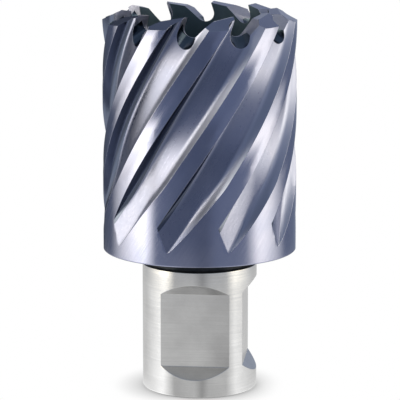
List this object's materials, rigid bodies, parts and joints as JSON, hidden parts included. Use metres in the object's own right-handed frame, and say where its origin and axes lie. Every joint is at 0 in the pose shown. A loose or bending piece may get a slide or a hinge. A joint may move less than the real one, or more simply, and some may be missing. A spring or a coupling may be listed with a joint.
{
  "type": "annular cutter",
  "caption": "Hollow fluted hole cutter with a toothed rim and a flatted straight shank, used to core round holes in metal plate.",
  "frame": {"origin": "centre of the flat shank end that the cutter stands on", "axes": "+Z along the tool axis from the shank end to the teeth, -Y out of the first shank flat, +X out of the second"},
  "size_m": [0.032, 0.032, 0.0634],
  "materials": {
    "tool_steel": "dark blue-violet hard coating on the fluted body, bright ground steel on the shank"
  },
  "bodies": {
    "root": {"cutter": "tool_steel"}
  },
  "joints": []
}
